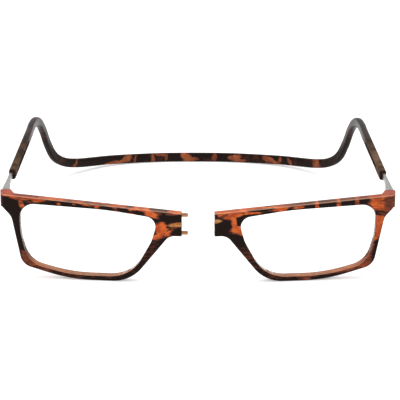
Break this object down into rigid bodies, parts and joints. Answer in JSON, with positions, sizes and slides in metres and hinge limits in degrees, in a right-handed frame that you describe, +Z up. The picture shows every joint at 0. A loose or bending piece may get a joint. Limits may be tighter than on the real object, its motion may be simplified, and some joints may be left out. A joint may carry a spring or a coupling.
{
  "type": "magnetic bridge reading glasses",
  "caption": "Wrap-around reading glasses that part at the nose and snap shut with a magnetic clasp, with sliding metal arms and a one-piece headband.",
  "frame": {"origin": "on the table, under the middle of the object's box", "axes": "+X to the viewer's right seen from the front, +Y from the front to the back of the head, +Z up"},
  "size_m": [0.148, 0.1708, 0.0361],
  "materials": {
    "tortoiseshell_acetate": "polished, amber and near-black mottle",
    "headband_acetate": "satin, dark brown mottle with amber patches",
    "clear_lens": "clear, polished",
    "nickel_silver": "satin nickel silver",
    "brass_pin": "turned brass, satin",
    "gilt_magnet": "gold-plated magnet"
  },
  "bodies": {
    "band_right": {"headband_right": "headband_acetate"},
    "band_left": {"headband_left": "headband_acetate"},
    "right_arm": {"right_temple_arm": "nickel_silver", "right_arm_stop_pin": "nickel_silver", "right_hinge_screw": "nickel_silver"},
    "right_front": {"right_front_frame": "tortoiseshell_acetate", "right_lens": "clear_lens", "right_bridge_magnet": "gilt_magnet", "right_hinge_leaf": "nickel_silver"},
    "left_arm": {"left_temple_arm": "nickel_silver", "left_arm_stop_pin": "nickel_silver", "left_hinge_screw": "nickel_silver"},
    "left_front": {"left_front_frame": "tortoiseshell_acetate", "left_lens": "clear_lens", "left_bridge_magnet": "gilt_magnet", "left_hinge_leaf": "nickel_silver", "upper_locating_pin": "brass_pin", "lower_locating_pin": "brass_pin"}
  },
  "joints": [
    {"name": "headband_flex", "type": "hinge", "parent": "band_right", "child": "band_left", "pos_m": [0, 0.08392, 0.00205], "axis": [0, 0, 1], "range_deg": [-25, 4.07], "stiffness_Nm_per_rad": 1.2},
    {"name": "right_arm_slide", "type": "slide", "parent": "band_right", "child": "right_arm", "axis": [0.0355, -0.9981, -0.0506], "range_m": [-0.007, 0.007]},
    {"name": "right_front_hinge", "type": "hinge", "parent": "right_arm", "child": "right_front", "pos_m": [0.07204, -0.06839, 0.0297], "axis": [0, 0, -1], "range_deg": [0, 90]},
    {"name": "left_arm_slide", "type": "slide", "parent": "band_left", "child": "left_arm", "axis": [-0.0355, -0.9981, -0.0506], "range_m": [-0.007, 0.007]},
    {"name": "left_front_hinge", "type": "hinge", "parent": "left_arm", "child": "left_front", "pos_m": [-0.07204, -0.06839, 0.0297], "axis": [0, 0, 1], "range_deg": [0, 90]}
  ]
}
